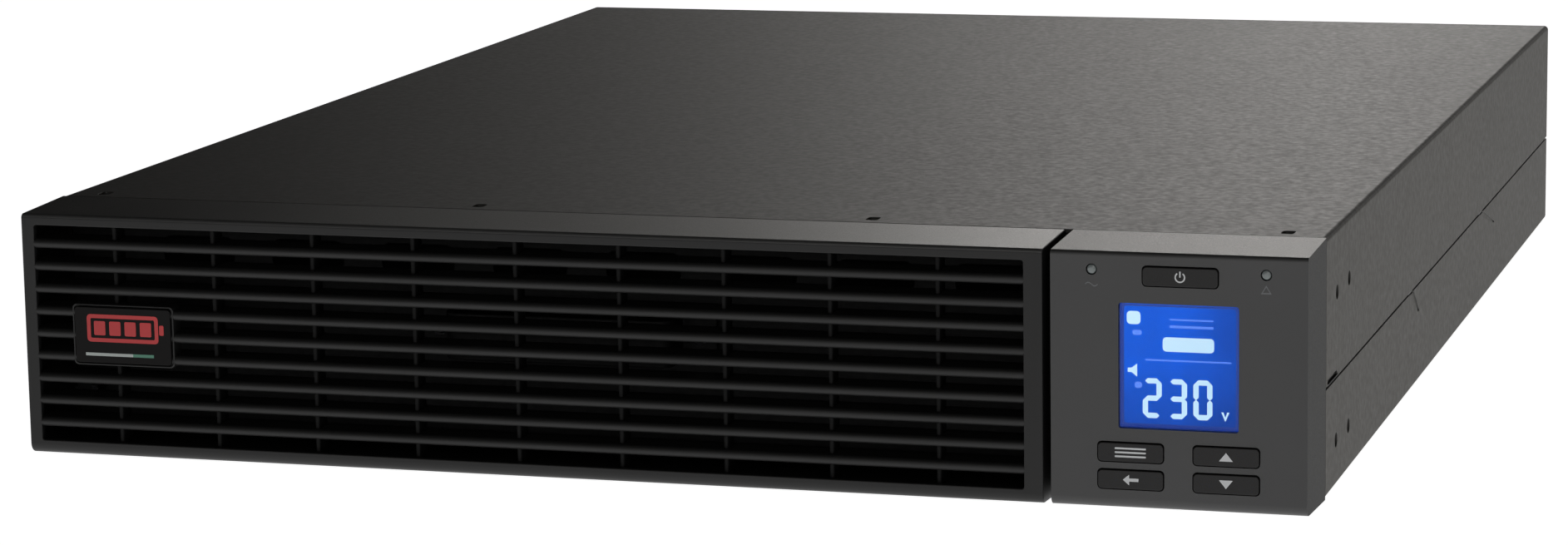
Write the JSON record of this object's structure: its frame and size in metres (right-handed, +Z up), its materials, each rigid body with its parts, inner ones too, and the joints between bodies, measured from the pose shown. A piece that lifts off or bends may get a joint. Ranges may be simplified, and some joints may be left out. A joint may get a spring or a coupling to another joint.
{
  "type": "uninterruptible power supply",
  "caption": "Low, deep rack-mount power backup box with a louvred pull-off front, sliding battery tray, display panel with keys, and rear outlets and fans.",
  "frame": {"origin": "centre of the bottom face of the whole box, on the surface the unit stands on", "axes": "+X to the right of someone facing the front, +Y from the front to the rear connectors, +Z up"},
  "size_m": [0.438, 0.6, 0.085],
  "materials": {
    "case_paint": "fine-textured dark grey powder coat",
    "grille_moulding": "spark-eroded satin black moulding",
    "panel_moulding": "spark-eroded satin dark grey moulding",
    "key_plastic": "smooth black",
    "window": "clear display window",
    "lens": "smoked clear light pipe",
    "screen": "backlit blue liquid-crystal display",
    "board": "solder-masked circuit board",
    "ribbon": "flat grey cable",
    "battery_case": "moulded battery case",
    "red_lead": "soft insulated lead",
    "black_plastic": "satin black plastic",
    "terminal_green": "green terminal block",
    "bare_aluminium": "plain extruded",
    "capacitor_sleeve": "shrunk dark blue sleeve",
    "winding": "varnished copper winding",
    "plated_steel": "bright zinc plate",
    "black_screw": "black oxide screw"
  },
  "bodies": {
    "chassis": {"chassis_base": "case_paint", "top_cover": "case_paint", "bay_wall": "case_paint", "control_panel": "panel_moulding", "lcd_window": "window", "lcd_module": "screen", "online_light": "lens", "fault_light": "lens", "display_board": "board", "display_ribbon": "ribbon", "bay_socket": "black_plastic", "power_board": "board", "charger_board": "board", "heatsink_left": "bare_aluminium", "heatsink_right": "bare_aluminium", "capacitor_front": "capacitor_sleeve", "capacitor_rear": "capacitor_sleeve", "output_choke": "winding", "charger_transformer": "winding", "transfer_relay": "black_plastic", "fan_housing_left": "black_plastic", "fan_housing_right": "black_plastic", "fan_guard_left": "plated_steel", "fan_guard_right": "plated_steel", "outlet_bank_upper": "black_plastic", "outlet_bank_lower": "black_plastic", "wide_outlet": "black_plastic", "ac_inlet": "black_plastic", "circuit_breaker": "black_plastic", "epo_terminal": "terminal_green", "usb_port": "plated_steel", "serial_port": "plated_steel", "slot_cover": "case_paint", "slot_screw_inner": "black_screw", "slot_screw_outer": "black_screw", "ground_screw": "plated_steel", "rear_panel": "case_paint"},
    "tray": {"battery_tray": "case_paint", "battery_front_left": "battery_case", "battery_middle_left": "battery_case", "battery_rear_left": "battery_case", "battery_front_right": "battery_case", "battery_middle_right": "battery_case", "battery_rear_right": "battery_case", "tray_handle": "case_paint", "tray_plug": "black_plastic", "battery_loom": "red_lead"},
    "thumbscrew_left": {"tray_thumbscrew_left": "plated_steel"},
    "thumbscrew_right": {"tray_thumbscrew_right": "plated_steel"},
    "grille": {"front_grille": "grille_moulding", "badge": "key_plastic"},
    "power_key": {"power_button": "key_plastic"},
    "menu_key": {"menu_button": "key_plastic"},
    "back_key": {"back_button": "key_plastic"},
    "up_key": {"up_button": "key_plastic"},
    "down_key": {"down_button": "key_plastic"},
    "rotor_left": {"fan_rotor_left": "black_plastic"},
    "rotor_right": {"fan_rotor_right": "black_plastic"},
    "breaker_key": {"breaker_button": "black_plastic"}
  },
  "joints": [
    {"name": "tray_slide", "type": "slide", "parent": "chassis", "child": "tray", "axis": [0, -1, 0], "range_m": [0, 0.31]},
    {"name": "thumbscrew_turn_left", "type": "hinge", "parent": "tray", "child": "thumbscrew_left", "pos_m": [-0.2105, -0.266, 0.019], "axis": [0, -1, 0], "range_deg": [0, 2160]},
    {"name": "thumbscrew_turn_right", "type": "hinge", "parent": "tray", "child": "thumbscrew_right", "pos_m": [0.127, -0.266, 0.019], "axis": [0, -1, 0], "range_deg": [0, 2160]},
    {"name": "grille_pull", "type": "slide", "parent": "tray", "child": "grille", "axis": [0, -1, 0], "range_m": [0, 0.06]},
    {"name": "power_key_press", "type": "slide", "parent": "chassis", "child": "power_key", "axis": [0, 1, 0], "range_m": [0, 0.0008], "stiffness_N_per_m": 800},
    {"name": "menu_key_press", "type": "slide", "parent": "chassis", "child": "menu_key", "axis": [0, 1, 0], "range_m": [0, 0.0008], "stiffness_N_per_m": 800},
    {"name": "back_key_press", "type": "slide", "parent": "chassis", "child": "back_key", "axis": [0, 1, 0], "range_m": [0, 0.0008], "stiffness_N_per_m": 800},
    {"name": "up_key_press", "type": "slide", "parent": "chassis", "child": "up_key", "axis": [0, 1, 0], "range_m": [0, 0.0008], "stiffness_N_per_m": 800},
    {"name": "down_key_press", "type": "slide", "parent": "chassis", "child": "down_key", "axis": [0, 1, 0], "range_m": [0, 0.0008], "stiffness_N_per_m": 800},
    {"name": "fan_spin_left", "type": "hinge", "parent": "chassis", "child": "rotor_left", "pos_m": [-0.172, 0.28, 0.0425], "axis": [0, 1, 0], "continuous": true},
    {"name": "fan_spin_right", "type": "hinge", "parent": "chassis", "child": "rotor_right", "pos_m": [-0.094, 0.28, 0.0425], "axis": [0, 1, 0], "continuous": true},
    {"name": "breaker_pop", "type": "slide", "parent": "chassis", "child": "breaker_key", "axis": [0, 1, 0], "range_m": [0, 0.003]}
  ]
}
